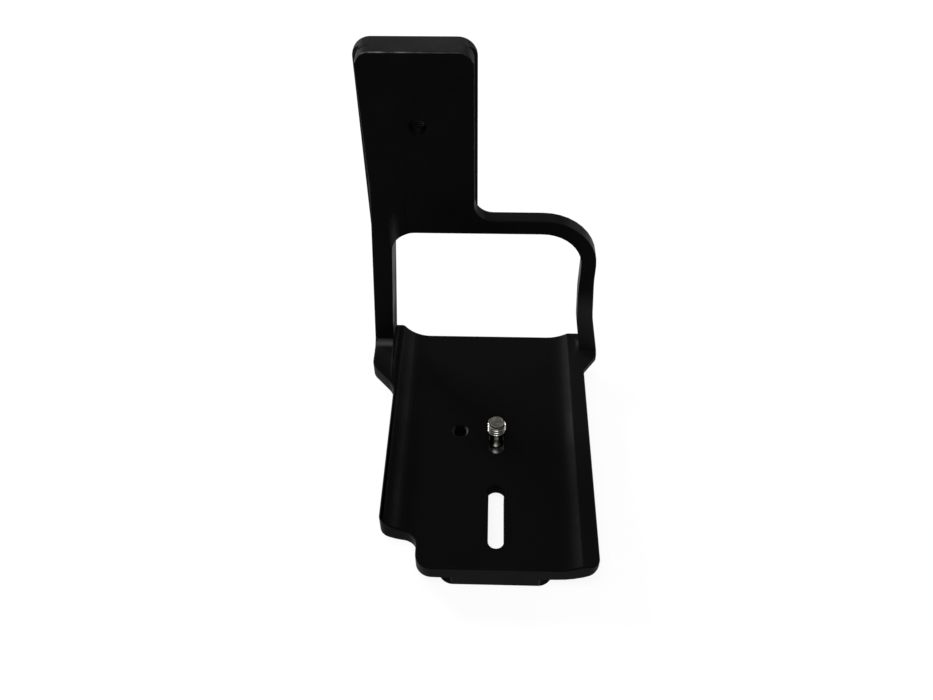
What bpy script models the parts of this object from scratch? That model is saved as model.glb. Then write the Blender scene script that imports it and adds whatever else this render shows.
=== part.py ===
# Camera L-bracket for a quick-release clamp: one milled body, with a base plate, an upright,
# a loop beside it for cables and a dovetail rail under each, and a captive camera screw.
# x runs from the base rail's centreline, y from the upright's outer face and z from the
# base rail's underside, until everything is moved to stand over the origin.

import math

import bmesh
import bpy

# Dovetail rails
rail_width = 0.038
rail_height = 0.0044
rail_land = 0.0016
rail_root = 0.0015
rail_corner = 0.005

# Base plate
base_length = 0.10455
plate_thick = 0.006
left_side = 0.0389
right_side = 0.0336
near_left_corner = 0.0055
near_right_corner = 0.0035
notch_inner_side = 0.0265
notch_length = 0.0132
notch_outer_corner = 0.0025
notch_inner_corner = 0.0045

# Lips along the sides of the camera's seat
left_floor = 0.0269
left_lip = 0.006
left_cove = 0.012
left_slope = math.radians(55)
right_floor = 0.0199
right_lip = 0.0026
right_cove = 0.014
right_slope = math.radians(33)
lip_round = 0.0019
wing_drop = 0.0003

# Ears that carry the upright
left_ear_reach = 0.048
left_ear_side = 0.0215
left_ear_taper = 0.0103
left_ear_corner = 0.006
left_ear_hollow = 0.009
right_ear_reach = 0.039
right_ear_side = 0.0118
right_ear_taper = 0.0076
right_ear_corner = 0.003
right_ear_hollow = 0.004

# Upright, with its heights above the camera's seat
upright_height = 0.1282
upright_plate = 0.0055
upright_rail_x = -0.027
pad_left = -0.0445
pad_waist = -0.0437
pad_waist_height = 0.079
pad_right = -0.00895
pad_corner = 0.0045
rail_end_corner = 0.006
pad_hollow = 0.0065
left_column_width = 0.0071
column_relief = 0.00025
foot_flush = 0.0003
foot_sunk = 0.001
left_foot_hollow = 0.003
right_foot_hollow = 0.0008
foot_depth = 0.0014

# Cable loop
loop_right = 0.0346
loop_height = 0.0666
loop_thick = 0.0054
loop_corner = 0.02
loop_flare_height = 0.039
loop_bend_height = 0.021
loop_bend_reach = 0.0012
loop_flare_round = 0.06
loop_foot_width = 0.0062
window_left_corner = 0.0085
window_draft = 0.0006
column_step_reach = 0.0051

# Slots, holes and the channel that the screw's head runs in
slot_width = 0.0053
front_slot_near = -0.0968
front_entry = -0.0745
rear_slot_near = -0.0584
rear_entry = -0.0442
entry_bore = 0.0065
channel_width = 0.0126
channel_play = 0.0004
base_hole_x = -0.0133
base_hole_y = -0.0484
base_hole_bore = 0.0049
base_hole_mouth = 0.0056
pad_hole_x = -0.0266
pad_hole_drop = 0.0253
pad_hole_bore = 0.0051
pad_hole_mouth = 0.0062

# Captive screw and washer
screw_from_entry = 0.0043
thread_bore = 0.00635
thread_length = 0.0055
thread_chamfer = 0.0007
neck_bore = 0.0048
head_bore = 0.0116
head_thick = 0.0026
head_chamfer = 0.0005
key_width = 0.00397
key_depth = 0.0017
washer_bore = 0.0052
washer_thick = 0.0006
play = 0.0003

# How far a cutter runs past what it cuts
past = 0.002

turn_step = math.radians(9)
round_steps = 48

floor = rail_height + plate_thick
web_low = rail_height
upright_depth = upright_plate + rail_height
screw_y = rear_entry - screw_from_entry
place_x = (left_ear_reach - right_ear_reach) / 2
place_y = base_length / 2


def clear_scene():
    for old in list(bpy.data.objects):
        bpy.data.objects.remove(old, do_unlink=True)


def material(name, colour, roughness, metallic):
    made = bpy.data.materials.new(name)
    made.use_nodes = True
    shader = made.node_tree.nodes["Principled BSDF"]
    shader.inputs["Base Color"].default_value = (*colour, 1)
    shader.inputs["Roughness"].default_value = roughness
    shader.inputs["Metallic"].default_value = metallic
    return made


def arc(centre, radius, start, end):
    """Points of an arc from one angle to another, both ends included."""
    count = max(2, math.ceil(abs(end - start) / turn_step))
    points = []
    for index in range(count + 1):
        angle = start + (end - start) * index / count
        points.append((centre[0] + radius * math.cos(angle), centre[1] + radius * math.sin(angle)))
    return points


def rounded(corners):
    """A closed outline through corners (across, up, radius), each rounded by its radius."""
    points = []
    for index, (across, up, radius) in enumerate(corners):
        if not radius:
            points.append((across, up))
            continue
        before = corners[index - 1]
        after = corners[(index + 1) % len(corners)]
        back = math.atan2(before[1] - up, before[0] - across)
        ahead = math.atan2(after[1] - up, after[0] - across)
        turn = math.remainder(ahead - back, math.tau)
        middle = back + turn / 2
        away = radius / abs(math.sin(turn / 2))
        centre = (across + away * math.cos(middle), up + away * math.sin(middle))
        side = math.copysign(math.pi / 2, turn)
        start = back - side
        sweep = math.remainder(ahead + side - start, math.tau)
        points += arc(centre, radius, start, start + sweep)
    return points


def rectangle(left, right, low, high):
    return [(left, low), (right, low), (right, high), (left, high)]


def long_hole(centre_x, near, far, width):
    """A plan with round ends, whose ends are centred at near and far."""
    half = width / 2
    return arc((centre_x, far), half, 0, math.pi) + arc((centre_x, near), half, math.pi, math.tau)


def circle(centre, bore):
    step = math.tau / round_steps
    return [
        (centre[0] + bore / 2 * math.cos(step * turn), centre[1] + bore / 2 * math.sin(step * turn))
        for turn in range(round_steps)
    ]


def add_object(name, shape, skin=None):
    mesh = bpy.data.meshes.new(name)
    bmesh.ops.recalc_face_normals(shape, faces=shape.faces)
    shape.to_mesh(mesh)
    shape.free()
    made = bpy.data.objects.new(name, mesh)
    bpy.context.scene.collection.objects.link(made)
    made.location = (place_x, place_y, 0)
    if skin:
        mesh.materials.append(skin)
    return made


def prism(name, outline, along, start, end, skin=None, end_outline=None):
    """The outline drawn across the axis named by along, and extruded to its like at the end."""
    put = {
        "x": lambda across, up, far: (far, across, up),
        "y": lambda across, up, far: (across, far, up),
        "z": lambda across, up, far: (across, up, far),
    }[along]
    shape = bmesh.new()
    low = [shape.verts.new(put(across, up, start)) for across, up in outline]
    high = [shape.verts.new(put(across, up, end)) for across, up in end_outline or outline]
    shape.faces.new(low)
    shape.faces.new(high)
    for index in range(len(outline)):
        after = (index + 1) % len(outline)
        shape.faces.new((low[index], low[after], high[after], high[index]))
    return add_object(name, shape, skin)


def turned(name, profile, skin=None):
    """A profile of (radius, height) from the top's centre to the bottom's, turned about z."""
    shape = bmesh.new()
    step = math.tau / round_steps
    rings = []
    for radius, height in profile:
        if radius == 0:
            rings.append([shape.verts.new((0, 0, height))] * round_steps)
            continue
        rings.append(
            [
                shape.verts.new((radius * math.cos(step * turn), radius * math.sin(step * turn), height))
                for turn in range(round_steps)
            ]
        )
    for upper, lower in zip(rings, rings[1:]):
        for turn in range(round_steps):
            after = (turn + 1) % round_steps
            loop = [upper[turn], lower[turn], lower[after], upper[after]]
            shape.faces.new(dict.fromkeys(loop))
    return add_object(name, shape, skin)


def as_helper(helper):
    helper.hide_render = True
    helper.display_type = "WIRE"
    return helper


def combine(target, operation, helper):
    step = target.modifiers.new(helper.name, "BOOLEAN")
    step.operation = operation
    step.solver = "EXACT"
    step.object = as_helper(helper)


def shade_round(piece, angle):
    """Smooth shading on the round stretches, with an edge kept where faces meet more sharply."""
    for face in piece.data.polygons:
        face.use_smooth = True
    piece.data.set_sharp_from_angle(angle=angle)


def base_section():
    """The plate across its length: flat seat, a cove up to each lip, and the coves' outer sides."""
    reach = left_ear_reach + past
    left_turn = left_floor + left_cove * math.tan(left_slope / 2)
    left_crest = left_turn + left_lip / math.tan(left_slope)
    right_turn = right_floor + right_cove * math.tan(right_slope / 2)
    right_crest = right_turn + right_lip / math.tan(right_slope)
    top = rounded(
        [
            (reach, floor + right_lip, 0),
            (right_crest, floor + right_lip, lip_round),
            (right_turn, floor, right_cove),
            (-left_turn, floor, left_cove),
            (-left_crest, floor + left_lip, lip_round),
            (-reach, floor + left_lip, 0),
        ]
    )
    wing = floor - wing_drop
    under = [(-reach, wing)]
    left_radius = left_cove + plate_thick
    left_start = math.acos((left_cove + wing_drop) / left_radius)
    under += arc((-left_floor, floor + left_cove), left_radius, -math.pi / 2 - left_start, -math.pi / 2)
    right_radius = right_cove + plate_thick
    right_end = math.acos((right_cove + wing_drop) / right_radius)
    under += arc((right_floor, floor + right_cove), right_radius, -math.pi / 2, -math.pi / 2 + right_end)
    under.append((reach, wing))
    return top + under


def base_plan():
    near = -base_length
    left_root = -left_ear_side - left_ear_taper
    right_root = -right_ear_side - right_ear_taper
    return rounded(
        [
            (-left_ear_reach, 0, 0),
            (-left_ear_reach, -left_ear_side, left_ear_corner),
            (-left_side, left_root, left_ear_hollow),
            (-left_side, near + notch_length, notch_outer_corner),
            (-notch_inner_side, near + notch_length, notch_inner_corner),
            (-notch_inner_side, near, near_left_corner),
            (right_side, near, near_right_corner),
            (right_side, right_root, right_ear_hollow),
            (right_ear_reach, -right_ear_side, right_ear_corner),
            (right_ear_reach, 0, 0),
        ]
    )


def rail_section(centre, out, lead=0):
    """Half-open dovetail across its length: out is the way to its root, lead what is cut off its face."""
    half = rail_width / 2
    waist = half - (rail_height - rail_land)
    land = out * rail_land
    neck = out * rail_height
    root = out * (rail_height + rail_root)
    return [
        (centre - half, -out * lead),
        (centre + half, -out * lead),
        (centre + half, land),
        (centre + waist, neck),
        (centre + waist, root),
        (centre - waist, root),
        (centre - waist, neck),
        (centre - half, land),
    ]


def base_rail():
    rail = prism("base_rail", rail_section(0, 1), "y", -base_length - past, past / 2)
    half = rail_width / 2
    plan = rounded(
        [
            (-half, -base_length, rail_corner),
            (half, -base_length, rail_corner),
            (half, past, 0),
            (-half, past, 0),
        ]
    )
    combine(rail, "INTERSECT", prism("base_rail_plan", plan, "z", -past, floor))
    return rail


def column_lean():
    """How far the left column leans to the right for each unit of height."""
    return (left_ear_reach + pad_waist) / (pad_waist_height - left_lip - foot_flush)


def column_inner_side(height):
    """Where the left column's inner side lies in front, at a height above the seat."""
    rise = height - left_lip - foot_flush
    return -left_ear_reach + left_column_width + column_lean() * rise


def upright_outline():
    """The upright from the front: left column, pad and loop. Its feet are wider than the ears, which
    trim them, so that the columns' sides run flush into the ears' sides."""
    left_foot = -left_ear_reach - column_lean() * (left_lip + foot_flush - foot_sunk)
    bend = loop_right + loop_bend_reach
    right_lean = (right_ear_reach - bend) / (loop_bend_height - right_lip - foot_flush)
    right_foot = right_ear_reach + right_lean * (right_lip + foot_flush - foot_sunk)
    top = floor + upright_height
    loop_top = floor + loop_height
    return rounded(
        [
            (left_foot, floor + foot_sunk, 0),
            (pad_waist, floor + pad_waist_height, 0),
            (pad_left, top, pad_corner),
            (pad_right, top, pad_corner),
            (pad_right, loop_top, pad_hollow),
            (loop_right, loop_top, loop_corner),
            (loop_right, floor + loop_flare_height, loop_flare_round),
            (bend, floor + loop_bend_height, loop_flare_round),
            (right_foot, floor + foot_sunk, 0),
        ]
    )


def window_outline(depth):
    """The loop's opening at a depth behind the front: its left side is drafted, narrower behind."""
    low = floor - past
    draft = window_draft * depth / upright_depth
    foot_left = column_inner_side(left_lip) + draft
    high = floor + loop_height - loop_thick
    left_high = column_inner_side(loop_height - loop_thick) + draft
    right_high = loop_right - loop_thick
    bend = loop_right + loop_bend_reach - (loop_thick + loop_foot_width) / 2
    return rounded(
        [
            (foot_left, low, 0),
            (foot_left, floor + left_lip, 0),
            (left_high, high, window_left_corner),
            (right_high, high, loop_corner - loop_thick),
            (right_high, floor + loop_flare_height - loop_thick, loop_flare_round / 2),
            (bend, floor + loop_bend_height - loop_thick / 2, loop_flare_round / 2),
            (right_ear_reach - loop_foot_width, floor, 0),
            (right_ear_reach - loop_foot_width, low, 0),
        ]
    )


def column_front():
    """The shallow step that the left column's front is cut back by, below the pad's waist."""
    right = column_inner_side(pad_waist_height) + column_step_reach
    outline = rectangle(-left_ear_reach - past, right, floor - past, floor + pad_waist_height)
    return prism("column_front", outline, "y", -upright_depth - past, -upright_depth + column_relief)


def foot(name, sides, front, lip, radius):
    """The hollow where a column's front meets the lip below it, as wide as the upright's outline."""
    seat = floor + lip
    hollow = arc((front - radius, seat + radius), radius, -math.pi / 2, 0)
    inside = [(front + foot_depth, seat + radius), (front + foot_depth, seat - foot_depth)]
    inside.append((front - radius, seat - foot_depth))
    block = prism(name, hollow + inside, "x", *sides)
    near = front - radius - past
    trim = prism(name + "_outline", upright_outline(), "y", near, front + foot_depth + past)
    combine(block, "INTERSECT", trim)
    return block


def upright():
    plate = prism("upright_plate", upright_outline(), "y", -upright_depth, -rail_height)
    top = floor + upright_height
    half = rail_width / 2
    section = rail_section(upright_rail_x, -1, past / 2)
    rail = prism("upright_rail", section, "z", floor + foot_sunk, top)
    rail_face = rounded(
        [
            (upright_rail_x - half, floor, 0),
            (upright_rail_x + half, floor, 0),
            (upright_rail_x + half, top, rail_end_corner),
            (upright_rail_x - half, top, rail_end_corner),
        ]
    )
    combine(rail, "INTERSECT", prism("upright_rail_face", rail_face, "y", -upright_depth, past))
    combine(plate, "UNION", rail)
    combine(plate, "DIFFERENCE", column_front())
    left = (-left_ear_reach - past, column_inner_side(left_lip) + past)
    left_front = -upright_depth + column_relief
    combine(plate, "UNION", foot("left_foot", left, left_front, left_lip, left_foot_hollow))
    right = (right_ear_reach - loop_foot_width - past, right_ear_reach + past)
    combine(plate, "UNION", foot("right_foot", right, -upright_depth, right_lip, right_foot_hollow))
    lead = left_foot_hollow + past
    front = window_outline(-lead)
    back = window_outline(upright_depth + past)
    window = prism("loop_window", front, "y", -upright_depth - lead, past, end_outline=back)
    combine(plate, "DIFFERENCE", window)
    return plate


def cut_slots(body):
    half = slot_width / 2
    high = floor + past
    low = web_low - past
    front = long_hole(0, front_slot_near + half, front_entry, slot_width)
    combine(body, "DIFFERENCE", prism("front_slot", front, "z", low, high))
    rear = long_hole(0, rear_slot_near + half, rear_entry, slot_width)
    combine(body, "DIFFERENCE", prism("rear_slot", rear, "z", low, high))
    for name, entry in (("front_entry", front_entry), ("rear_entry", rear_entry)):
        combine(body, "DIFFERENCE", prism(name, circle((0, entry), entry_bore), "z", low, high))
    channel = long_hole(0, front_slot_near + half, rear_entry, channel_width + channel_play)
    combine(body, "DIFFERENCE", prism("head_channel", channel, "z", -past, web_low))


def tapped_hole(body, name, shift, depth, turn, bore, mouth):
    """A through hole from a face at shift, cut along -z, with a countersink in both its faces."""
    bevel = (mouth - bore) / 2
    wide = mouth / 2
    narrow = bore / 2
    cutter = turned(
        name,
        [
            (0, past),
            (wide + past, past),
            (narrow, -bevel),
            (narrow, bevel - depth),
            (wide + past, -past - depth),
            (0, -past - depth),
        ],
    )
    cutter.location = (place_x + shift[0], place_y + shift[1], shift[2])
    cutter.rotation_euler = (turn, 0, 0)
    combine(body, "DIFFERENCE", cutter)


def bracket_body(skin):
    body = prism("bracket_body", base_section(), "y", -base_length - past, past, skin)
    combine(body, "UNION", base_rail())
    combine(body, "UNION", upright())
    combine(body, "INTERSECT", prism("base_plan", base_plan(), "z", -past, floor + upright_height + past))
    cut_slots(body)
    base_hole = (base_hole_x, base_hole_y, floor)
    tapped_hole(body, "base_hole", base_hole, floor, 0, base_hole_bore, base_hole_mouth)
    pad_hole = (pad_hole_x, -upright_depth, floor + upright_height - pad_hole_drop)
    tapped_hole(body, "pad_hole", pad_hole, upright_depth, math.pi / 2, pad_hole_bore, pad_hole_mouth)
    return body


def camera_screw(skin):
    """Thread above the seat, a relieved neck in the slot, and a low head in the channel."""
    top = floor + play + thread_length
    thread = thread_bore / 2
    neck = neck_bore / 2
    head = head_bore / 2
    head_top = web_low - play - washer_thick - play
    head_low = head_top - head_thick
    screw = turned(
        "camera_screw",
        [
            (0, top),
            (thread - thread_chamfer, top),
            (thread, top - thread_chamfer),
            (thread, floor + play),
            (neck, floor + play),
            (neck, head_top),
            (head, head_top),
            (head, head_low + head_chamfer),
            (head - head_chamfer, head_low),
            (0, head_low),
        ],
        skin,
    )
    screw.location.y += screw_y
    key = key_width / math.sqrt(3)
    corners = [(key * math.cos(math.tau * turn / 6), key * math.sin(math.tau * turn / 6)) for turn in range(6)]
    socket = prism("key_socket", corners, "z", head_low - past, head_low + key_depth)
    socket.location.y += screw_y
    combine(screw, "DIFFERENCE", socket)
    shade_round(screw, math.radians(30))
    return screw


def screw_washer(skin):
    top = web_low - play
    inner = washer_bore / 2
    outer = head_bore / 2
    loop = [(inner, top), (outer, top), (outer, top - washer_thick), (inner, top - washer_thick), (inner, top)]
    washer = turned("screw_washer", loop, skin)
    welded = bmesh.new()
    welded.from_mesh(washer.data)
    bmesh.ops.remove_doubles(welded, verts=welded.verts, dist=washer_thick / 100)
    welded.to_mesh(washer.data)
    welded.free()
    washer.location.y += screw_y
    shade_round(washer, math.radians(30))
    return washer


clear_scene()
black = material("black_anodised_aluminium", (0.012, 0.012, 0.013), 0.42, 0.85)
steel = material("stainless_steel", (0.58, 0.55, 0.5), 0.26, 1.0)
washer_steel = material("washer_steel", (0.52, 0.51, 0.49), 0.32, 1.0)
body = bracket_body(black)
shade_round(body, math.radians(20))
camera_screw(steel)
screw_washer(washer_steel)
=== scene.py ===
# Camera L-bracket: a black milled body with its captive steel screw and washer.
import math

import bmesh
import bpy
from mathutils import Matrix, Vector


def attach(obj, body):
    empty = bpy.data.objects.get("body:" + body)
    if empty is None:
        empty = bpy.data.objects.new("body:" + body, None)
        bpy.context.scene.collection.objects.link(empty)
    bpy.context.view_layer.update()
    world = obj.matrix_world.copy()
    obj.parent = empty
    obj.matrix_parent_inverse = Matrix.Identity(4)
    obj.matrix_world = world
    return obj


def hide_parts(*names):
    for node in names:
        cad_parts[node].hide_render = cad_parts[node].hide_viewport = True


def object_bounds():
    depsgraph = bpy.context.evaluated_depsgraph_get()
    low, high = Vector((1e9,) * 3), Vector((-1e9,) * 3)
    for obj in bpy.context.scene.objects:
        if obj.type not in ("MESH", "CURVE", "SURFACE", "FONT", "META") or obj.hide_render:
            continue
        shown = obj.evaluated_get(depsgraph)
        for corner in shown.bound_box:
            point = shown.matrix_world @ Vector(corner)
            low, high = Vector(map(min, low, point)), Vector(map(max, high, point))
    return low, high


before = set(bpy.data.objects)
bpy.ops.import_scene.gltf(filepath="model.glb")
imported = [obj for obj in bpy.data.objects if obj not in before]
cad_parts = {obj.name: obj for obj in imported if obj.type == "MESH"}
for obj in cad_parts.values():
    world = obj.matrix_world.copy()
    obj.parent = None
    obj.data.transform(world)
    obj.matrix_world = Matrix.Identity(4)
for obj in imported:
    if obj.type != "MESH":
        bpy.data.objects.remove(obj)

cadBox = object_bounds()

# Camera, where the photograph was taken from
camera = {
    "place": (0.0012, -0.189125, 0.2604),
    "turn": (43.0846, 0.4745, 1.6875),  # degrees about x, y and z
    "lens": 33.0,
    "sensorWidth": 36,
    "nearest": 0.01,
}

# Floor, surroundings and lamps
studio = {
    "floorSize": 6.0,
    "floorDrop": 0.0001,  # the floor lies just under the part
    "floorColour": (0.92, 0.92, 0.92),
    "floorGlow": 0.9,  # share of plain white that the background gets
    "horizon": 0.8,
    "ceiling": 0.104,
    "ceilingStarts": 0.36,  # height of the direction, 0 level and 1 straight up
    "ceilingFull": 0.74,
}
lamps = {
    # name: place, aimed at, size, watts
    "softboxLeft": ((-0.84, 0.82, 0.58), (0, 0, 0.03), (0.36, 0.36), 17.0),
    "softboxRight": ((0.92, 0.78, 0.5), (0, 0, 0.03), (0.42, 0.4), 5.0),
    "softboxOver": ((-0.12, -0.25, 0.97), (0, 0, 0.03), (0.5, 0.5), 6.0),
    "softboxBack": ((0.0, 1.15, 0.72), (0, 0, 0.1), (0.9, 0.22), 2.8),
}


def setUpCamera():
    data = bpy.data.cameras.new("photoCamera")
    data.lens = camera["lens"]
    data.sensor_width = camera["sensorWidth"]
    data.clip_start = camera["nearest"]
    made = bpy.data.objects.new("photoCamera", data)
    made.location = camera["place"]
    made.rotation_euler = [math.radians(angle) for angle in camera["turn"]]
    bpy.context.collection.objects.link(made)
    bpy.context.scene.camera = made


def addNode(tree, kind, **settings):
    node = tree.nodes.new(kind)
    for key, value in settings.items():
        setattr(node, key, value)
    return node


def join(tree, source, target):
    tree.links.new(source, target)


def plug(sockets, name):
    return next(socket for socket in sockets if socket.enabled and socket.name == name)


def mathNode(tree, operation, *values, clamp=False):
    node = addNode(tree, "ShaderNodeMath", operation=operation, use_clamp=clamp)
    for socket, value in zip(node.inputs, values):
        if hasattr(value, "links"):
            join(tree, value, socket)
        else:
            socket.default_value = value
    return node.outputs[0]


def mapRange(tree, value, fromLow, fromHigh, toLow=0, toHigh=1, kind="LINEAR"):
    node = addNode(tree, "ShaderNodeMapRange", interpolation_type=kind)
    node.inputs["From Min"].default_value = fromLow
    node.inputs["From Max"].default_value = fromHigh
    node.inputs["To Min"].default_value = toLow
    node.inputs["To Max"].default_value = toHigh
    join(tree, value, node.inputs["Value"])
    return node.outputs["Result"]


def setUpSurroundings():
    # White to the camera; in reflections it dims from the horizon to the ceiling
    world = bpy.data.worlds.new("studio")
    bpy.context.scene.world = world
    world.use_nodes = True
    tree = world.node_tree
    tree.nodes.clear()
    out = addNode(tree, "ShaderNodeOutputWorld")
    back = addNode(tree, "ShaderNodeBackground")
    back.inputs["Color"].default_value = (1, 1, 1, 1)
    path = addNode(tree, "ShaderNodeLightPath")
    where = addNode(tree, "ShaderNodeTexCoord")
    split = addNode(tree, "ShaderNodeSeparateXYZ")
    join(tree, where.outputs["Generated"], split.inputs[0])
    starts, full = studio["ceilingStarts"], studio["ceilingFull"]
    horizon, ceiling = studio["horizon"], studio["ceiling"]
    fall = mapRange(tree, split.outputs["Z"], starts, full, horizon, ceiling, "SMOOTHSTEP")
    seen = mathNode(tree, "MAXIMUM", path.outputs["Is Camera Ray"], path.outputs["Is Transmission Ray"])
    strength = addNode(tree, "ShaderNodeMix", data_type="FLOAT")
    join(tree, seen, plug(strength.inputs, "Factor"))
    join(tree, fall, plug(strength.inputs, "A"))
    plug(strength.inputs, "B").default_value = 1
    join(tree, plug(strength.outputs, "Result"), back.inputs["Strength"])
    join(tree, back.outputs[0], out.inputs[0])


def floorPaper():
    made = bpy.data.materials.new("floorPaper")
    made.use_nodes = True
    tree = made.node_tree
    tree.nodes.clear()
    out = addNode(tree, "ShaderNodeOutputMaterial")
    paper = addNode(tree, "ShaderNodeBsdfDiffuse")
    paper.inputs["Color"].default_value = (*studio["floorColour"], 1)
    glow = addNode(tree, "ShaderNodeEmission")
    glow.inputs["Strength"].default_value = 1
    path = addNode(tree, "ShaderNodeLightPath")
    seen = mathNode(tree, "MAXIMUM", path.outputs["Is Camera Ray"], path.outputs["Is Glossy Ray"])
    seen = mathNode(tree, "MAXIMUM", seen, path.outputs["Is Transmission Ray"])
    share = mathNode(tree, "MULTIPLY", seen, studio["floorGlow"])
    mix = addNode(tree, "ShaderNodeMixShader")
    join(tree, share, mix.inputs[0])
    join(tree, paper.outputs[0], mix.inputs[1])
    join(tree, glow.outputs[0], mix.inputs[2])
    clear = addNode(tree, "ShaderNodeBsdfTransparent")
    side = addNode(tree, "ShaderNodeNewGeometry")
    oneSided = addNode(tree, "ShaderNodeMixShader")  # from below, the floor lets the underside be seen
    join(tree, side.outputs["Backfacing"], oneSided.inputs[0])
    join(tree, mix.outputs[0], oneSided.inputs[1])
    join(tree, clear.outputs[0], oneSided.inputs[2])
    join(tree, oneSided.outputs[0], out.inputs[0])
    return made


def setUpFloor():
    half, drop = studio["floorSize"] / 2, studio["floorDrop"]
    corners = [(x * half, y * half, -drop) for x, y in ((-1, -1), (1, -1), (1, 1), (-1, 1))]
    mesh = bpy.data.meshes.new("floor")
    mesh.from_pydata(corners, [], [(0, 1, 2, 3)])
    floor = bpy.data.objects.new("floor", mesh)
    bpy.context.collection.objects.link(floor)
    mesh.materials.append(floorPaper())


def setUpLamps():
    for name, (place, aim, size, watts) in lamps.items():
        data = bpy.data.lights.new(name, "AREA")
        data.shape = "RECTANGLE"
        data.size, data.size_y = size
        data.energy = watts
        lamp = bpy.data.objects.new(name, data)
        lamp.location = place
        lamp.rotation_euler = (Vector(aim) - Vector(place)).to_track_quat("-Z", "Y").to_euler()
        lamp.visible_camera = False
        bpy.context.collection.objects.link(lamp)


def newMaterial(name):
    made = bpy.data.materials.new(name)
    made.use_nodes = True
    tree = made.node_tree
    return made, tree, tree.nodes["Principled BSDF"]


def noise(tree, vector, scale, detail, roughness):
    node = addNode(tree, "ShaderNodeTexNoise")
    node.inputs["Scale"].default_value = scale
    node.inputs["Detail"].default_value = detail
    node.inputs["Roughness"].default_value = roughness
    join(tree, vector, node.inputs["Vector"])
    return node.outputs[0]


def bumpNode(tree, height, distance, strength):
    node = addNode(tree, "ShaderNodeBump")
    node.inputs["Strength"].default_value = strength
    node.inputs["Distance"].default_value = distance
    join(tree, height, node.inputs["Height"])
    return node.outputs[0]


def attribute(tree, name):
    return addNode(tree, "ShaderNodeAttribute", attribute_name=name).outputs["Fac"]


def scaledColour(tree, colour, tone):
    node = addNode(tree, "ShaderNodeVectorMath", operation="SCALE")
    node.inputs[0].default_value = colour
    join(tree, tone, node.inputs["Scale"])
    return node.outputs[0]


# Black satin finish of the milled body
satinBlack = {
    "colour": (0.0021, 0.0021, 0.0022),
    "bareAndSheenColour": (0.34, 0.34, 0.35),  # bare metal where an edge has rubbed bright, also laid on as painted highlight and painted sheen
    "gloss": 0.012,  # specular level: the dye under the sealed coat swallows nearly all light
    "roughness": 0.38,
    "roughnessSpread": 0.06,
    "matteRoughness": 0.55,  # added where the matte attribute is 1
    "grain": (5200, 2, 0.5),  # scale, detail and roughness: blasted grain, about 0.2 mm
    "grainHeight": 0.000005,
    "grainStrength": 0.35,
    "smear": (60, 6, 0.62),  # handling marks and uneven dye
    "smearSpan": (0.3, 0.7),  # of the noise, from darkest to lightest
    "smearTone": (0.85, 1.15),
    "chips": (260, 4, 0.6),  # breaks in the rubbed edge
    "chipSpan": (0.36, 0.66),
    "chipLeast": 0.25,
    "edgeWearAndHighlightShare": 0.3,  # bare metal where the edge wear attribute is 1: rubbed wear together with a painted highlight
    "paintedSheenShare": 0.13,  # and where the painted sheen attribute is 1: painted highlights
}


def satinBlackMetal():
    made, tree, shader = newMaterial("satinBlackMetal")
    shader.inputs["Specular IOR Level"].default_value = satinBlack["gloss"]
    where = addNode(tree, "ShaderNodeTexCoord").outputs["Object"]
    smear = noise(tree, where, *satinBlack["smear"])
    grain = noise(tree, where, *satinBlack["grain"])
    patch = noise(tree, where, *satinBlack["chips"])

    chipped = mapRange(tree, patch, *satinBlack["chipSpan"], satinBlack["chipLeast"], 1)
    # edge wear: rubbed bare edges, in part a painted highlight
    wornAndSheen = mathNode(tree, "MULTIPLY", chipped, attribute(tree, "edgeWearAndHighlight"))
    wornAndSheen = mathNode(tree, "MULTIPLY", wornAndSheen, satinBlack["edgeWearAndHighlightShare"])
    paintedSheen = attribute(tree, "paintedSheen")
    # painted sheen: bare-metal colour laid on where highlights fall
    wornAndSheen = mathNode(tree, "MULTIPLY_ADD", paintedSheen, satinBlack["paintedSheenShare"], wornAndSheen, clamp=True)
    join(tree, wornAndSheen, shader.inputs["Metallic"])

    tone = mapRange(tree, smear, *satinBlack["smearSpan"], *satinBlack["smearTone"])
    colour = addNode(tree, "ShaderNodeMix", data_type="RGBA")
    join(tree, wornAndSheen, plug(colour.inputs, "Factor"))
    join(tree, scaledColour(tree, satinBlack["colour"], tone), plug(colour.inputs, "A"))
    plug(colour.inputs, "B").default_value = (*satinBlack["bareAndSheenColour"], 1)
    join(tree, plug(colour.outputs, "Result"), shader.inputs["Base Color"])

    middle, spread = satinBlack["roughness"], satinBlack["roughnessSpread"]
    rough = mapRange(tree, smear, *satinBlack["smearSpan"], middle + spread, middle - spread)
    matte = attribute(tree, "matte")
    rough = mathNode(tree, "MULTIPLY_ADD", matte, satinBlack["matteRoughness"], rough, clamp=True)
    join(tree, rough, shader.inputs["Roughness"])
    bump = bumpNode(tree, grain, satinBlack["grainHeight"], satinBlack["grainStrength"])
    join(tree, bump, shader.inputs["Normal"])
    return made


# Captive screw: thread above the seat, relieved neck, low head with a hexagon socket
cameraScrew = {
    "centre": (0.0045, 0.003775),
    "top": 0.0162,
    "threadLow": 0.0107,
    "outerRadius": 0.003175,
    "coreRadius": 0.00252,
    "pitch": 0.00127,
    "flankSpan": (0.22, 0.87),  # shares of half a pitch at which a flank starts and ends
    "leadIn": 0.0007,
    "neckRadius": 0.0024,
    "neckFillet": 0.0003,
    "neckOverlap": 0.0009,  # how far the neck reaches up into the thread
    "headTop": 0.0032,
    "headLow": 0.0006,
    "headRadius": 0.0058,
    "headRound": 0.0004,
    "keyAcross": 0.00397,
    "keyDepth": 0.0017,
    "keyLead": 0.0001,  # chamfer at the socket's mouth
    "keyPoint": 0.0006,  # drill point at its bottom
    "keyOutside": 0.001,  # how far its cutter stands out of the head
    "turnSteps": 84,
    "threadRows": 110,
    "stemSteps": 96,
    "smoothAngle": 35,
}
washer = {
    "innerRadius": 0.0026,
    "outerRadius": 0.0058,
    "low": 0.0035,
    "high": 0.0041,
    "round": 0.00012,
    "roundSteps": 3,
    "turnSteps": 96,
    "smoothAngle": 50,
}


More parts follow.
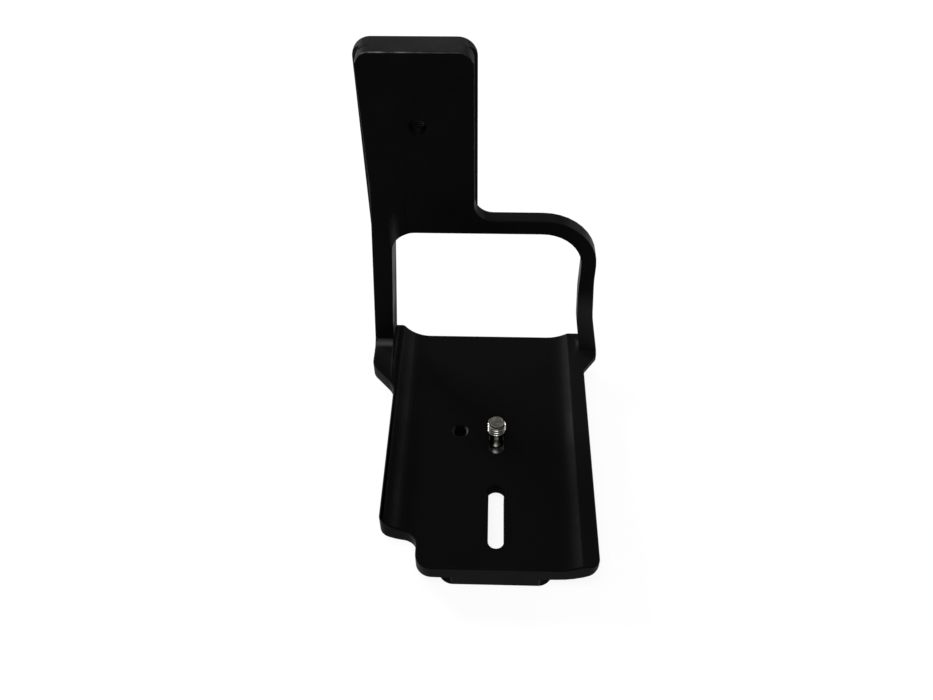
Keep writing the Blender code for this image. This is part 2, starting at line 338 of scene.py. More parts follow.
# Bright steel of the screw and its washer
turnedSteel = {
    "screwColour": (0.62, 0.605, 0.545),
    "washerColour": (0.72, 0.705, 0.655),
    "roughness": 0.17,
    "roughnessSpread": (0.1, -0.06),  # where the turning is dullest and brightest
    "roughnessSpan": (0.35, 0.65),
    "spots": (900, 5, 0.6),  # scale, detail and roughness of the uneven turning
    "spotSpan": (0.3, 0.7),
    "spotTone": (0.82, 1.06),
    "ringPitch": 0.00012,  # spacing of the lathe's marks
    "ringHeight": 0.000004,
    "ringStrength": 0.6,
    "paintedRootShade": 0.03,  # painted shade: the thread's roots are darkened
    "grooveReach": 0.00038,  # out from the core
    # painted highlight: the crests are made lighter than the steel
    "crest": 1.1,
    "crestReach": 0.00001,  # in from the crest
    "endReach": (0.0001, 0.00002),  # below the end face, which the painted shade leaves at its own tone
    "paintedShadeBelow": 0.0104,  # painted shade: the neck and head are darkened under the seat, where the slot shades them
    "paintedShadeFade": 0.0004,
    "paintedShadeTone": 0.2,
}


def paintedThreadShade(tree, radius, height):
    # Tone of the screw: painted shade in the thread's roots and under the seat, a painted highlight on the
    # crests, the end face left at its own tone
    root = cameraScrew["coreRadius"] + turnedSteel["grooveReach"]
    crest = cameraScrew["outerRadius"] - turnedSteel["crestReach"]
    paintedRootShade = mapRange(tree, radius, root, crest, turnedSteel["paintedRootShade"], turnedSteel["crest"])
    onEnd = mapRange(tree, height, *[cameraScrew["top"] - reach for reach in turnedSteel["endReach"]])
    seat = turnedSteel["paintedShadeBelow"]
    underSeat = mapRange(tree, height, seat - turnedSteel["paintedShadeFade"], seat, turnedSteel["paintedShadeTone"], 0)
    return mathNode(tree, "MAXIMUM", mathNode(tree, "MAXIMUM", paintedRootShade, onEnd), underSeat)


def latheSteel(name, colour, centre, threaded):
    made, tree, shader = newMaterial(name)
    shader.inputs["Metallic"].default_value = 1
    where = addNode(tree, "ShaderNodeTexCoord").outputs["Object"]
    centred = addNode(tree, "ShaderNodeMapping")
    centred.inputs["Location"].default_value = (-centre[0], -centre[1], 0)
    join(tree, where, centred.inputs["Vector"])
    split = addNode(tree, "ShaderNodeSeparateXYZ")
    join(tree, centred.outputs[0], split.inputs[0])
    x, y, height = split.outputs
    squares = mathNode(tree, "ADD", mathNode(tree, "MULTIPLY", x, x), mathNode(tree, "MULTIPLY", y, y))
    radius = mathNode(tree, "SQRT", squares)
    uneven = noise(tree, where, *turnedSteel["spots"])
    tone = mapRange(tree, uneven, *turnedSteel["spotSpan"], *turnedSteel["spotTone"])
    # the screw gets the painted shade and painted highlight of its thread
    if threaded:
        tone = mathNode(tree, "MULTIPLY", tone, paintedThreadShade(tree, radius, height))
    join(tree, scaledColour(tree, colour, tone), shader.inputs["Base Color"])
    dull, bright = [turnedSteel["roughness"] + spread for spread in turnedSteel["roughnessSpread"]]
    rough = mapRange(tree, uneven, *turnedSteel["roughnessSpan"], dull, bright)
    join(tree, rough, shader.inputs["Roughness"])
    turns = mathNode(tree, "MULTIPLY", radius, math.tau / turnedSteel["ringPitch"])
    ring = mathNode(tree, "MULTIPLY", mathNode(tree, "SINE", turns), uneven)
    bump = bumpNode(tree, ring, turnedSteel["ringHeight"], turnedSteel["ringStrength"])
    join(tree, bump, shader.inputs["Normal"])
    return made


def linked(name, mesh):
    made = bpy.data.objects.new(name, mesh)
    bpy.context.collection.objects.link(made)
    return made


def applied(holder, name):
    # The evaluated result as a plain mesh, with nothing live left on it
    bpy.context.view_layer.update()
    mesh = bpy.data.meshes.new_from_object(holder.evaluated_get(bpy.context.evaluated_depsgraph_get()))
    mesh.name = name
    old = holder.data
    bpy.data.objects.remove(holder, do_unlink=True)
    if old.users == 0:
        bpy.data.meshes.remove(old)
    return mesh


# Body: the CAD solid with its edges broken, as after tumbling
body = {
    "front": 0.042375,  # the upright's front face
    "seat": 0.0104,
    "mergeReach": 0.000002,  # points nearer than this are one
    "flatAngle": 0.15,  # degrees below which faces are one
    "facingTurn": 0.9,  # least part of a normal along an axis for a face to look that way
    # edges
    "sharpAngle": 28,
    "outlineBreak": 0.00055,
    "outlineSteps": 4,
    "smallBreak": 0.0002,
    "smallSteps": 2,
    "breakProfile": 0.5,
    "uprightDepth": 0.0035,  # an edge this near the front face, and this high over the seat, is the upright's
    "uprightAbove": 0.0027,
    "frontReach": 0.0004,
    "windowAcross": (-0.038, 0.0385),  # the loop's opening, whose edges stay crisp
    "windowTop": 0.0729,
    "padRight": -0.0058,  # the pad's right side and the bar's top stay crisp too
    "barTop": 0.0812,
    "padHole": (-0.0221, 0.1133),
    "padHoleReach": 0.0045,
    "seatAcross": (-0.0125, 0.0085),  # the strip of the seat that holds the slots and the hole
    "seatNear": -0.046,
    "wallRise": 0.2,  # an outer edge of the base joins a wall that leans less than this
    "topRise": 0.3,  # and a face that looks up more than this
    "baseGap": 0.0002,
    # the shallow step across the left column
    "crease": 0.0894,  # its height
    "creaseDepth": 0.00025,  # of the CAD's step back below the crease
    "creaseSlack": 0.00002,
    "creaseMerge": 0.00003,
    "creaseRise": -0.0002,  # forward of the pad below the crease, in the finished mesh
    "creaseRight": -0.0272,
    "creaseFade": 0.0013,
    "creaseReach": 0.0012,  # how far behind the front face the rise dies out
    "creaseAbove": 0.0062,  # lowest point of the rise, over the seat
    "creaseRows": (0, 0.35, 0.7, 1),
    "creaseColumns": (0, 0.5, 1),
    "creaseCut": 0.000001,
    # the pad's top front edge, rubbed bright and given a painted highlight
    "topEdgeAbove": 0.1355,
    "topEdgeTurn": 0.97,
    "topEdgeAcross": (0.008, 0.036),  # left of the middle, from least to most
    "topEdgeLeast": 0.3,
    # duller places: the pad's right side, the right foot's hollow, the corners of the base rail's near end
    "sideAcross": (-0.0085, 0),
    "sideTurn": 0.2,
    "sideAbove": 0.0832,
    "sideFadeIn": (0.082, 0.088),
    "sideFadeOut": (0.1305, 0.1375),
    "footFrom": 0.0342,
    "footHeights": (0.013, 0.014),
    "footAlong": (0.041175, 0.042475),
    "railEnd": (-0.044, 0.0045),
    "railTurn": 0.1,
    "weldReach": 0.000003,  # slivers smaller than this are closed up at the end
    "normalWeight": 80,
}


# Painted sheen: where the black is made lighter to stand for highlights, as shares of the material's painted
# sheen
paintedSheenPlaces = {
    "frontSlack": 0.0006,
    # hollow at the left foot: height, inner side and radius, and the span in radii that counts
    "leftHollow": (0.0164, -0.0358, 0.003),
    "hollowAhead": (-0.15, 1.02),
    "hollowAbove": (-0.02, 1.02),
    "hollowRound": (0.85, 1.08),
    # right column: foot, brightest place and end of the gleam
    "columnFrom": 0.0325,
    "columnHeights": (0.0138, 0.036, 0.046),
    "columnLeast": 0.3,
    "columnStrength": 0.22,
    # top of the right lip, lightest at the ear
    "lipTop": 0.013,
    "lipSlack": 0.0009,
    "lipFlat": 0.0002,
    "lipFrom": 0.0312,
    "lipFar": 0.0426,
    "lipFade": (-0.02, 0.03),
    "lipLeast": 0.3,
    "lipStrength": 0.055,
    "lipCuts": (-0.04, -0.02, 0.0, 0.015, 0.03, 0.036),
    # mouth of the tapped hole in the base: centre and reach
    "baseHole": (-0.0088, 0.003875, 0.0029),
    "holeDepth": 0.0012,
    "holeSide": 0.6,
    "holeRight": 1.2,
    "holeLeft": 0.3,
    # the window's top left corner: a painted highlight, a lit wedge that fades upwards and to the sides
    "corner": (-0.0322, 0.0662),
    "cornerSize": (0.0019, 0.0145),
    "cornerBelow": 0.001,
    "cornerStrength": 0.42,
    # cuts in the front faces, between which the painted sheen fades
    "cutHeights": (
        0.0138, 0.02, 0.028, 0.033, 0.036, 0.039, 0.0425, 0.046,
        0.065, 0.0665, 0.07, 0.074, 0.078, 0.0808,
    ),
    "cutsAcross": (-0.0342, -0.0334, -0.0322, -0.0310, -0.0302),
}


def isWithin(value, span):
    return span[0] < value < span[1]


def ramp(value, low, high):
    return min(1, max(0, (value - low) / (high - low)))


def eased(share):
    return share * share * (3 - 2 * share)


def lifted(share, least):
    # A share from 0 to 1, lifted to run from least to 1
    return least + (1 - least) * share


def joinFlats(shape):
    angle = math.radians(body["flatAngle"])
    bmesh.ops.dissolve_limit(shape, angle_limit=angle, verts=shape.verts, edges=shape.edges)


def mergedCopy(node):
    shape = bmesh.new()
    shape.from_mesh(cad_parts[node].data)
    bmesh.ops.remove_doubles(shape, verts=shape.verts, dist=body["mergeReach"])
    joinFlats(shape)
    return shape


def closeStep(shape):
    # The CAD's step is closed up while the edges are broken; raiseCrease shapes it again
    for point in shape.verts:
        if abs(point.co.y - body["front"] - body["creaseDepth"]) < body["creaseSlack"]:
            point.co.y = body["front"]
    bmesh.ops.remove_doubles(shape, verts=shape.verts, dist=body["creaseMerge"])
    joinFlats(shape)


def isSharp(edge):
    return edge.is_manifold and edge.is_convex and edge.calc_face_angle(0) > math.radians(body["sharpAngle"])


def isOutline(edge):
    middle = (edge.verts[0].co + edge.verts[1].co) / 2
    if middle.y > body["front"] - body["uprightDepth"] and middle.z > body["seat"] + body["uprightAbove"]:
        inWindow = isWithin(middle.x, body["windowAcross"]) and middle.z < body["windowTop"]
        holeX, holeZ = body["padHole"]
        inHole = math.hypot(middle.x - holeX, middle.z - holeZ) < body["padHoleReach"]
        onSide = middle.x > body["padRight"] and middle.z > body["barTop"]
        atFront = middle.y < body["front"] + body["frontReach"]
        return atFront and not inWindow and not inHole and not onSide
    leastRise = min(abs(face.normal.z) for face in edge.link_faces)
    upward = max(face.normal.z for face in edge.link_faces)
    inSeat = isWithin(middle.x, body["seatAcross"]) and middle.y > body["seatNear"]
    outer = leastRise < body["wallRise"] and upward > body["topRise"]
    return outer and not inSeat and middle.y < body["front"] - body["baseGap"]


def breakEdges(shape, edges, size, steps):
    bmesh.ops.bevel(
        shape, geom=edges, offset=size, offset_type="OFFSET", segments=steps, profile=body["breakProfile"],
        affect="EDGES", clamp_overlap=False, miter_outer="ARC", loop_slide=True,
    )


def cutFlats(shape, axis, facing, level, slack, cutAxis, places):
    # Cuts the faces that look along an axis (0, 1 or 2) and lie at one level, so that the polish can fade
    for place in places:
        faces = [
            face for face in shape.faces
            if face.normal[axis] * facing > body["facingTurn"]
            and abs(face.calc_center_median()[axis] - level) < slack
        ]
        edges = dict.fromkeys(edge for face in faces for edge in face.edges)  # each once, always in one order
        points = dict.fromkeys(point for face in faces for point in face.verts)
        spot, way = [0, 0, 0], [0, 0, 0]
        spot[cutAxis], way[cutAxis] = place, 1
        bmesh.ops.bisect_plane(
            shape, geom=list(points) + list(edges) + faces, dist=body["mergeReach"],
            plane_co=spot, plane_no=way,
        )


def wearAndHighlightTopEdge(shape):
    # The pad's top front edge is rubbed most, where a camera is slid in and out; the same bare metal also
    # stands as a painted highlight along it, strongest left of the middle
    wearAndHighlight = shape.loops.layers.float.new("edgeWearAndHighlight")
    behind = body["front"] + body["outlineBreak"] / 2
    for face in shape.faces:
        middle = face.calc_center_median()
        broken = max(abs(face.normal.y), abs(face.normal.z)) < body["topEdgeTurn"]
        if broken and middle.z > body["topEdgeAbove"] and middle.y < behind:
            for corner in face.loops:
                left = ramp(-corner.vert.co.x, *body["topEdgeAcross"])
                corner[wearAndHighlight] = lifted(left, body["topEdgeLeast"])


def dullFaces(shape):
    # Places that catch no gleam in the photo
    matte = shape.loops.layers.float.new("matte")
    railNear, railTop = body["railEnd"]
    for face in shape.faces:
        middle = face.calc_center_median()
        onSide = isWithin(middle.x, body["sideAcross"]) and middle.z > body["sideAbove"]
        inFoot = middle.x > body["footFrom"] and isWithin(middle.z, body["footHeights"])
        inFoot = inFoot and isWithin(middle.y, body["footAlong"])
        atEnd = middle.y < railNear and middle.z < railTop and abs(face.normal.x) > body["railTurn"]
        if inFoot or atEnd:
            for corner in face.loops:
                corner[matte] = 1
        elif onSide and face.normal.x > body["sideTurn"]:
            for corner in face.loops:
                height = corner.vert.co.z
                corner[matte] = ramp(height, *body["sideFadeIn"]) * (1 - ramp(height, *body["sideFadeOut"]))


# Each of these gives a share inside its own place, and nothing outside it
def hollowShare(point):
    top, inner, reach = paintedSheenPlaces["leftHollow"]
    ahead, above = (body["front"] - point.y) / reach, (point.z - top) / reach
    inside = isWithin(ahead, paintedSheenPlaces["hollowAhead"]) and isWithin(above, paintedSheenPlaces["hollowAbove"])
    if point.x < inner and inside:
        onRound = isWithin(math.hypot(1 - ahead, 1 - above), paintedSheenPlaces["hollowRound"])
        return max(0, 1 - abs(ahead - above)) if onRound else 0


def isAtFront(point):
    return abs(point.y - body["front"]) < paintedSheenPlaces["frontSlack"]


def columnShare(point):
    low, peak, high = paintedSheenPlaces["columnHeights"]
    if point.x > paintedSheenPlaces["columnFrom"] and isAtFront(point) and point.z < high:
        up, down = lifted(ramp(point.z, low, peak), paintedSheenPlaces["columnLeast"]), 1 - ramp(point.z, peak, high)
        return paintedSheenPlaces["columnStrength"] * (up if point.z < peak else down)


def lipShare(point):
    onTop = abs(point.z - paintedSheenPlaces["lipTop"]) < paintedSheenPlaces["lipSlack"]
    if point.x > paintedSheenPlaces["lipFrom"] and onTop and point.y < paintedSheenPlaces["lipFar"]:
        return paintedSheenPlaces["lipStrength"] * lifted(ramp(point.y, *paintedSheenPlaces["lipFade"]), paintedSheenPlaces["lipLeast"])


def holeShare(point):
    centreX, centreY, reach = paintedSheenPlaces["baseHole"]
    across, away = point.x - centreX, math.hypot(point.x - centreX, point.y - centreY)
    if away < reach and point.z > body["seat"] - paintedSheenPlaces["holeDepth"]:
        strength, side = paintedSheenPlaces["holeRight" if across > 0 else "holeLeft"], paintedSheenPlaces["holeSide"]
        return strength * max(0, abs(across) / away - side) / (1 - side)


def cornerShare(point):
    (x, z), (width, height) = paintedSheenPlaces["corner"], paintedSheenPlaces["cornerSize"]
    inHeight = z - paintedSheenPlaces["cornerBelow"] < point.z < z + height
    if isAtFront(point) and abs(point.x - x) < width and inHeight:
        return paintedSheenPlaces["cornerStrength"] * (1 - abs(point.x - x) / width) * (1 - ramp(point.z, z, z + height))


def paintedSheenAt(point):
    # The first place that the point belongs to says how much painted sheen it has
    for placeShare in (hollowShare, columnShare, lipShare, holeShare, cornerShare):
        share = placeShare(point)
        if share is not None:
            return share
    return 0


def paintSheenOnFaces(shape):
    # painted sheen: a painted highlight on each place listed above
    paintedSheen = shape.loops.layers.float.new("paintedSheen")
    for face in shape.faces:
        for corner in face.loops:
            corner[paintedSheen] = paintedSheenAt(corner.vert.co)


def raiseCrease(shape):
    # Below the crease, the column rises softly from the pad's level
    fade, reach = body["creaseFade"], body["creaseReach"]
    cuts = [((0, 0, body["crease"] - fade * share), (0, 0, 1)) for share in body["creaseRows"]]
    cuts += [((body["creaseRight"] - fade * share, 0, 0), (1, 0, 0)) for share in body["creaseColumns"]]
    for place, way in cuts:
        everything = shape.verts[:] + shape.edges[:] + shape.faces[:]
        bmesh.ops.bisect_plane(
            shape, geom=everything, dist=body["creaseCut"], plane_co=place, plane_no=way,
        )
    lowest, furthest = body["seat"] + body["creaseAbove"], body["front"] + reach
    for point in shape.verts:
        below = (body["crease"] - point.co.z) / fade
        beside = (body["creaseRight"] - point.co.x) / fade
        if below > 0 and beside > 0 and point.co.z > lowest and point.co.y < furthest:
            lead = eased(min(1, below)) * eased(min(1, beside))
            back = 1 - max(0, point.co.y - body["front"]) / reach
            point.co.y += body["creaseRise"] * lead * back


def putInOrder(items, place):
    # Blender's bevel leaves them in an order that differs from run to run
    for number, item in enumerate(sorted(items, key=lambda item: tuple(place(item)))):
        item.index = number
    items.sort()


def closeUp(shape):
    # Inside the CAD's box, without slivers, and smooth
    for point in shape.verts:
        point.co = [min(max(value, low), high) for value, low, high in zip(point.co, *cadBox)]
    bmesh.ops.dissolve_degenerate(shape, dist=body["weldReach"], edges=shape.edges)
    bmesh.ops.remove_doubles(shape, verts=shape.verts, dist=body["weldReach"])
    for face in shape.faces:
        face.smooth = True
    putInOrder(shape.verts, lambda point: point.co)
    putInOrder(shape.edges, lambda edge: edge.verts[0].co + edge.verts[1].co)
    putInOrder(shape.faces, lambda face: face.calc_center_median())


def makeBody():
    shape = mergedCopy("bracket_body")
    closeStep(shape)
    outline = [edge for edge in shape.edges if isSharp(edge) and isOutline(edge)]
    breakEdges(shape, outline, body["outlineBreak"], body["outlineSteps"])
    others = [edge for edge in shape.edges if isSharp(edge)]
    breakEdges(shape, others, body["smallBreak"], body["smallSteps"])
    cutFlats(shape, 1, -1, body["front"], paintedSheenPlaces["frontSlack"], 2, paintedSheenPlaces["cutHeights"])
    cutFlats(shape, 1, -1, body["front"], paintedSheenPlaces["frontSlack"], 0, paintedSheenPlaces["cutsAcross"])
    cutFlats(shape, 2, 1, paintedSheenPlaces["lipTop"], paintedSheenPlaces["lipFlat"], 1, paintedSheenPlaces["lipCuts"])
    wearAndHighlightTopEdge(shape)
    dullFaces(shape)
    paintSheenOnFaces(shape)
    raiseCrease(shape)
    closeUp(shape)
    print("body faces", len(shape.faces), "open edges", sum(not e.is_manifold for e in shape.edges))
    mesh = bpy.data.meshes.new("bracketBody")
    shape.to_mesh(mesh)
    shape.free()
    holder = linked("bracketBodyHolder", mesh)
    weigh = holder.modifiers.new("weigh", "WEIGHTED_NORMAL")
    weigh.keep_sharp = True
    weigh.weight = body["normalWeight"]
    made = linked("bracketBody", applied(holder, "bracketBody"))
    made.data.materials.clear()
    made.data.materials.append(satinBlackMetal())
    return made


def newTree(name, numbers, counts):
    # A node tree with named inputs for its sizes and counts, and one for its material
    tree = bpy.data.node_groups.new(name, "GeometryNodeTree")
    tree.is_modifier = True
    kinds = [(label, "NodeSocketFloat") for label in numbers]
    kinds += [(label, "NodeSocketInt") for label in counts] + [("Material", "NodeSocketMaterial")]
    for label, kind in kinds:
        tree.interface.new_socket(label, in_out="INPUT", socket_type=kind)
    tree.interface.new_socket("Geometry", in_out="OUTPUT", socket_type="NodeSocketGeometry")
    return tree, tree.nodes.new("NodeGroupInput").outputs, tree.nodes.new("NodeGroupOutput")


def runTree(name, tree, values):
    # Runs a node tree on an empty holder and gives back the plain mesh it makes
    holder = linked(name + "Holder", bpy.data.meshes.new(name + "Holder"))
    run = holder.modifiers.new(name, "NODES")
    run.node_group = tree
    for item in tree.interface.items_tree:
        if item.in_out == "INPUT" and item.name in values:
            run[item.identifier] = values[item.name]
    return applied(holder, name)


def combineXYZ(tree, *parts):
    node = addNode(tree, "ShaderNodeCombineXYZ")
    for socket, part in zip(node.inputs, parts):
        join(tree, part, socket)
    return node.outputs[0]


def finishTree(tree, shape, given, out):
    real = addNode(tree, "GeometryNodeRealizeInstances")
    finish = addNode(tree, "GeometryNodeSetMaterial")
    join(tree, shape, real.inputs[0])
    join(tree, real.outputs[0], finish.inputs["Geometry"])
    join(tree, given["Material"], finish.inputs["Material"])
    join(tree, finish.outputs[0], out.inputs[0])


def threadTree():
    # A cylinder whose wall is pushed out to a thread's profile, with a cone at each end
    numbers = ("Length", "Pitch", "Core Radius", "Outer Radius", "Lead In")
    tree, given, out = newTree("screwThread", numbers, ("Turn Steps", "Rows"))
    blank = addNode(tree, "GeometryNodeMeshCylinder", fill_type="NGON")
    blank.inputs["Radius"].default_value = 1
    join(tree, given["Turn Steps"], blank.inputs["Vertices"])
    join(tree, given["Rows"], blank.inputs["Side Segments"])
    join(tree, given["Length"], blank.inputs["Depth"])
    split = addNode(tree, "ShaderNodeSeparateXYZ")
    join(tree, addNode(tree, "GeometryNodeInputPosition").outputs[0], split.inputs[0])
    x, y, z = split.outputs
    turned = mathNode(tree, "DIVIDE", mathNode(tree, "ARCTAN2", y, x), math.tau)
    phase = mathNode(tree, "SUBTRACT", mathNode(tree, "DIVIDE", z, given["Pitch"]), turned)
    wave = mathNode(tree, "MULTIPLY", mathNode(tree, "FRACT", phase), 2.0)
    wave = mathNode(tree, "ABSOLUTE", mathNode(tree, "SUBTRACT", wave, 1.0))
    rise = mapRange(tree, wave, *cameraScrew["flankSpan"])
    depth = mathNode(tree, "SUBTRACT", given["Outer Radius"], given["Core Radius"])
    radius = mathNode(tree, "MULTIPLY_ADD", rise, depth, given["Core Radius"])
    halfLength = mathNode(tree, "MULTIPLY", given["Length"], 0.5)
    inward = mathNode(tree, "SUBTRACT", halfLength, mathNode(tree, "ABSOLUTE", z))
    cone = mathNode(tree, "SUBTRACT", given["Outer Radius"], given["Lead In"])
    cone = mathNode(tree, "ADD", cone, inward)
    radius = mathNode(tree, "MINIMUM", radius, cone)
    place = addNode(tree, "GeometryNodeSetPosition")
    join(tree, blank.outputs["Mesh"], place.inputs["Geometry"])
    spot = combineXYZ(tree, mathNode(tree, "MULTIPLY", x, radius), mathNode(tree, "MULTIPLY", y, radius), z)
    join(tree, spot, place.inputs["Position"])
    finishTree(tree, place.outputs[0], given, out)
    return tree


def lathe(name, profile, steps, ringShape=False):
    # Turns a profile of (radius, height) about z; a ring's profile closes on itself
    shape = bmesh.new()
    angles = [math.tau * step / steps for step in range(steps)]
    rows = []
    for radius, height in profile:
        spots = [(radius * math.cos(a), radius * math.sin(a), height) for a in angles]
        rows.append([shape.verts.new(spot) for spot in (spots if radius else [(0, 0, height)])])
    pairs = list(zip(rows, rows[1:]))
    if ringShape:
        pairs.append((rows[-1], rows[0]))
    for low, high in pairs:
        for step in range(steps):
            after = (step + 1) % steps
            if len(low) == 1:
                shape.faces.new((low[0], high[after], high[step]))
            elif len(high) == 1:
                shape.faces.new((low[step], low[after], high[0]))
            else:
                shape.faces.new((low[step], low[after], high[after], high[step]))
    bmesh.ops.recalc_face_normals(shape, faces=shape.faces)
    mesh = bpy.data.meshes.new(name)
    shape.to_mesh(mesh)
    shape.free()
    return mesh


def roundCorner(radius, height, turnX, turnZ, size, steps=4):
    # Points round a lathe corner: turnX and turnZ say which way the metal's outside lies
    centreX, centreZ = radius - turnX * size, height - turnZ * size
    angles = [math.radians(90 * step / steps) for step in range(steps + 1)]
    return [(centreX + turnX * size * math.cos(a), centreZ + turnZ * size * math.sin(a)) for a in angles]


def combined(name, mesh, tools):
    # One closed solid from a mesh and (operation, mesh) tools
    holder = linked(name + "Holder", mesh)
    helpers = []
    for operation, tool in tools:
        helper = linked(name + "Tool", tool)
        helpers.append(helper)
        cut = holder.modifiers.new(operation, "BOOLEAN")
        cut.operation = operation
        cut.solver = "EXACT"
        cut.object = helper
    made = applied(holder, name)
    for helper in helpers:
        old = helper.data
        bpy.data.objects.remove(helper, do_unlink=True)
        bpy.data.meshes.remove(old)
    return made


def smoothBelow(mesh, angle, reach=0.000001):
    # Points nearer than reach are one, and edges flatter than the angle are smooth
    shape = bmesh.new()
    shape.from_mesh(mesh)
    bmesh.ops.remove_doubles(shape, verts=shape.verts, dist=reach)
    for face in shape.faces:
        face.smooth = True
    for edge in shape.edges:
        edge.smooth = not edge.is_manifold or edge.calc_face_angle(0) < math.radians(angle)
    shape.to_mesh(mesh)
    shape.free()


def screwStem():
    # Head and neck, up into the thread
    neck, head, edge = cameraScrew["neckRadius"], cameraScrew["headRadius"], cameraScrew["headRound"]
    low, high, fillet = cameraScrew["headLow"], cameraScrew["headTop"], cameraScrew["neckFillet"]
    neckTop = cameraScrew["threadLow"] + cameraScrew["neckOverlap"]
    profile = [(0, low)] + roundCorner(head, low, 1, -1, edge)[::-1] + roundCorner(head, high, 1, 1, edge / 2)
    profile += [(neck + fillet, high), (neck, high + fillet), (neck, neckTop), (0, neckTop)]
    return lathe("screwStem", profile, cameraScrew["stemSteps"])


def keySocket():
    # Cutter for the hexagon socket in the head
    corner = cameraScrew["keyAcross"] / 2 / math.cos(math.pi / 6)
    low, lead = cameraScrew["headLow"], cameraScrew["keyLead"]
    outside, deep = low - cameraScrew["keyOutside"], low + cameraScrew["keyDepth"]
    profile = [(0, outside), (corner + lead, outside), (corner, low + lead), (corner, deep)]
    return lathe("keySocket", profile + [(0, deep + cameraScrew["keyPoint"])], 6)


def makeScrew():
    finish = latheSteel("turnedSteelScrew", turnedSteel["screwColour"], cameraScrew["centre"], True)
    length = cameraScrew["top"] - cameraScrew["threadLow"]
    thread = runTree("screwThread", threadTree(), {
        "Length": length, "Pitch": cameraScrew["pitch"], "Core Radius": cameraScrew["coreRadius"],
        "Outer Radius": cameraScrew["outerRadius"], "Lead In": cameraScrew["leadIn"],
        "Turn Steps": cameraScrew["turnSteps"], "Rows": cameraScrew["threadRows"], "Material": finish,
    })
    thread.transform(Matrix.Translation((0, 0, cameraScrew["threadLow"] + length / 2)))
    solid = combined("cameraScrew", thread, [("UNION", screwStem()), ("DIFFERENCE", keySocket())])
    solid.transform(Matrix.Translation((*cameraScrew["centre"], 0)))
    smoothBelow(solid, cameraScrew["smoothAngle"])
    solid.materials.clear()
    solid.materials.append(finish)
    print("screw faces", len(solid.polygons))
    return linked("cameraScrew", solid)


def makeWasher():
    inner, outer, low, high = washer["innerRadius"], washer["outerRadius"], washer["low"], washer["high"]
    size, steps = washer["round"], washer["roundSteps"]
    profile = roundCorner(outer, low, 1, -1, size, steps)[::-1] + roundCorner(outer, high, 1, 1, size, steps)
    profile += roundCorner(inner, high, -1, 1, size, steps)[::-1]
    profile += roundCorner(inner, low, -1, -1, size, steps)
    ring = lathe("screwWasher", profile, washer["turnSteps"], ringShape=True)
    ring.transform(Matrix.Translation((*cameraScrew["centre"], 0)))
    smoothBelow(ring, washer["smoothAngle"])
    finish = latheSteel("turnedSteelWasher", turnedSteel["washerColour"], cameraScrew["centre"], False)
    ring.materials.append(finish)
    return linked("screwWasher", ring)


# Threads inside the tapped holes
holeThreads = {
    "pitch": 0.00127,
    "reach": 0.0002,  # how far a crest stands into the bore
    "halfWidth": 0.00042,
    "pointsPerTurn": 56,
    "slotHalfAngle": 57,  # degrees of an entry's wall that the slot takes away on each side
    "smoothAngle": 35,
    "holes": {
        # name: centre, bore radius, lowest and highest point along its axis
        "padHole": ((-0.0221, 0.1133), 0.00255, 0.0431, 0.0516),
        "baseHole": ((-0.0088, 0.003875), 0.00245, 0.0007, 0.0098),
        "frontEntry": ((0.0045, -0.022225), 0.00325, 0.0049, 0.0099),
        "rearEntry": ((0.0045, 0.008075), 0.00325, 0.0049, 0.0099),
    },
}


def climbingCurve(tree, given):
    # Round the bore, one pitch up for each turn
    line = addNode(tree, "GeometryNodeMeshLine")
    join(tree, given["Points"], line.inputs["Count"])
    last = mathNode(tree, "SUBTRACT", given["Points"], 1.0)
    share = mathNode(tree, "DIVIDE", addNode(tree, "GeometryNodeInputIndex").outputs[0], last)
    along = mathNode(tree, "MULTIPLY", given["Sweep"], share)
    angle = mathNode(tree, "ADD", along, given["Start"])
    x = mathNode(tree, "MULTIPLY", mathNode(tree, "COSINE", angle), given["Radius"])
    y = mathNode(tree, "MULTIPLY", mathNode(tree, "SINE", angle), given["Radius"])
    z = mathNode(tree, "MULTIPLY", mathNode(tree, "DIVIDE", along, math.tau), given["Pitch"])
    place = addNode(tree, "GeometryNodeSetPosition")
    join(tree, line.outputs[0], place.inputs["Geometry"])
    join(tree, combineXYZ(tree, x, y, z), place.inputs["Position"])
    path = addNode(tree, "GeometryNodeMeshToCurve")
    join(tree, place.outputs[0], path.inputs[0])
    upright = addNode(tree, "GeometryNodeSetCurveNormal")
    upright.mode = "Z_UP"
    join(tree, path.outputs[0], upright.inputs[0])
    return upright.outputs[0]


def ridgeAlong(tree, given, curve):
    # A closed diamond section, half of it in the metal
    diamond = addNode(tree, "GeometryNodeCurvePrimitiveCircle")
    diamond.inputs["Resolution"].default_value = 4
    diamond.inputs["Radius"].default_value = 1
    fit = addNode(tree, "GeometryNodeTransform")
    join(tree, diamond.outputs[0], fit.inputs["Geometry"])
    size = addNode(tree, "ShaderNodeCombineXYZ")
    size.inputs["Z"].default_value = 1
    join(tree, given["Reach"], size.inputs["X"])
    join(tree, given["Half Width"], size.inputs["Y"])
    join(tree, size.outputs[0], fit.inputs["Scale"])
    sweep = addNode(tree, "GeometryNodeCurveToMesh")
    sweep.inputs["Fill Caps"].default_value = True
    join(tree, curve, sweep.inputs["Curve"])
    join(tree, fit.outputs[0], sweep.inputs["Profile Curve"])
    return sweep.outputs[0]


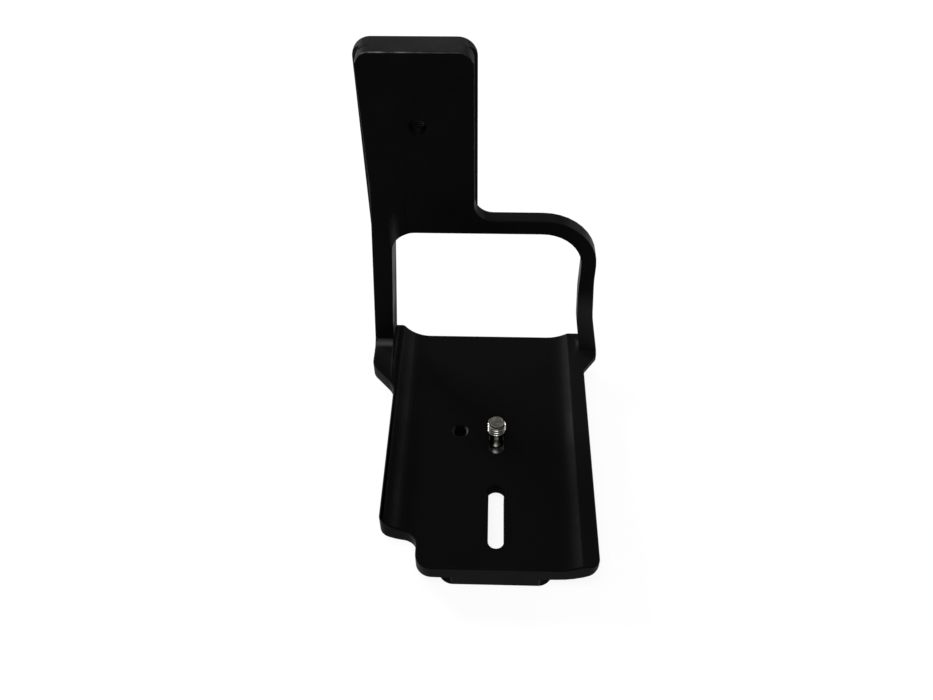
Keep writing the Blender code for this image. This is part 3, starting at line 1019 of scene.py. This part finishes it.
def ridgeTree():
    # A thread's ridge in a bore, repeated up it where a slot breaks the turns
    numbers = ("Radius", "Pitch", "Reach", "Half Width", "Start", "Sweep")
    tree, given, out = newTree("holeThread", numbers, ("Points", "Repeats"))
    ridge = ridgeAlong(tree, given, climbingCurve(tree, given))
    stack = addNode(tree, "GeometryNodeMeshLine")
    join(tree, given["Repeats"], stack.inputs["Count"])
    step = addNode(tree, "ShaderNodeCombineXYZ")
    join(tree, given["Pitch"], step.inputs["Z"])
    join(tree, step.outputs[0], stack.inputs["Offset"])
    copies = addNode(tree, "GeometryNodeInstanceOnPoints")
    join(tree, stack.outputs[0], copies.inputs["Points"])
    join(tree, ridge, copies.inputs["Instance"])
    finishTree(tree, copies.outputs[0], given, out)
    return tree


def threadOfHole(name, tree, finish):
    centre, radius, low, high = holeThreads["holes"][name]
    pitch, gap = holeThreads["pitch"], math.radians(holeThreads["slotHalfAngle"])
    start, sweep, repeats = 0.0, math.tau * (high - low) / pitch, 1
    if name.endswith("Entry"):  # the slot breaks the thread, so one arc is repeated
        start, sweep = gap - math.pi / 2, math.tau - 2 * gap
        repeats = int((high - low - pitch * sweep / math.tau) / pitch) + 1
    mesh = runTree(name, tree, {
        "Radius": radius, "Pitch": pitch, "Start": start, "Sweep": sweep, "Repeats": repeats,
        "Reach": holeThreads["reach"], "Half Width": holeThreads["halfWidth"],
        "Points": int(holeThreads["pointsPerTurn"] * sweep / math.tau) + 1, "Material": finish,
    })
    if name == "padHole":  # its axis runs along y
        mesh.transform(Matrix.Rotation(-math.pi / 2, 4, "X"))
        mesh.transform(Matrix.Translation((centre[0], low, centre[1])))
    else:
        mesh.transform(Matrix.Translation((*centre, low)))
    return mesh


def makeHoleThreads(finish):
    tree = ridgeTree()
    shape = bmesh.new()
    for name in holeThreads["holes"]:
        mesh = threadOfHole(name, tree, finish)
        shape.from_mesh(mesh)
        bpy.data.meshes.remove(mesh)
    bmesh.ops.recalc_face_normals(shape, faces=shape.faces)
    joined = bpy.data.meshes.new("holeThreads")
    shape.to_mesh(joined)
    shape.free()
    smoothBelow(joined, holeThreads["smoothAngle"])
    # the threads in the base hole's mouth get the painted sheen too
    shine = joined.attributes.new("paintedSheen", "FLOAT", "POINT")
    for point, spot in zip(joined.vertices, shine.data):
        spot.value = paintedSheenAt(point.co)
    joined.materials.clear()
    joined.materials.append(finish)
    print("hole thread faces", len(joined.polygons))
    return linked("holeThreads", joined)


print("camera and studio")
setUpCamera()
setUpSurroundings()
setUpFloor()
setUpLamps()
print("body")
bracket = makeBody()
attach(bracket, "bracket")
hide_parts("bracket_body")
print("threads in the holes")
threads = makeHoleThreads(bracket.data.materials[0])
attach(threads, "bracket")
print("screw and washer")
screw = makeScrew()
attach(screw, "screw")
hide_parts("camera_screw")
ring = makeWasher()
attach(ring, "washer")
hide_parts("screw_washer")

scene = bpy.context.scene
scene.view_settings.view_transform = "Standard"
print("done")
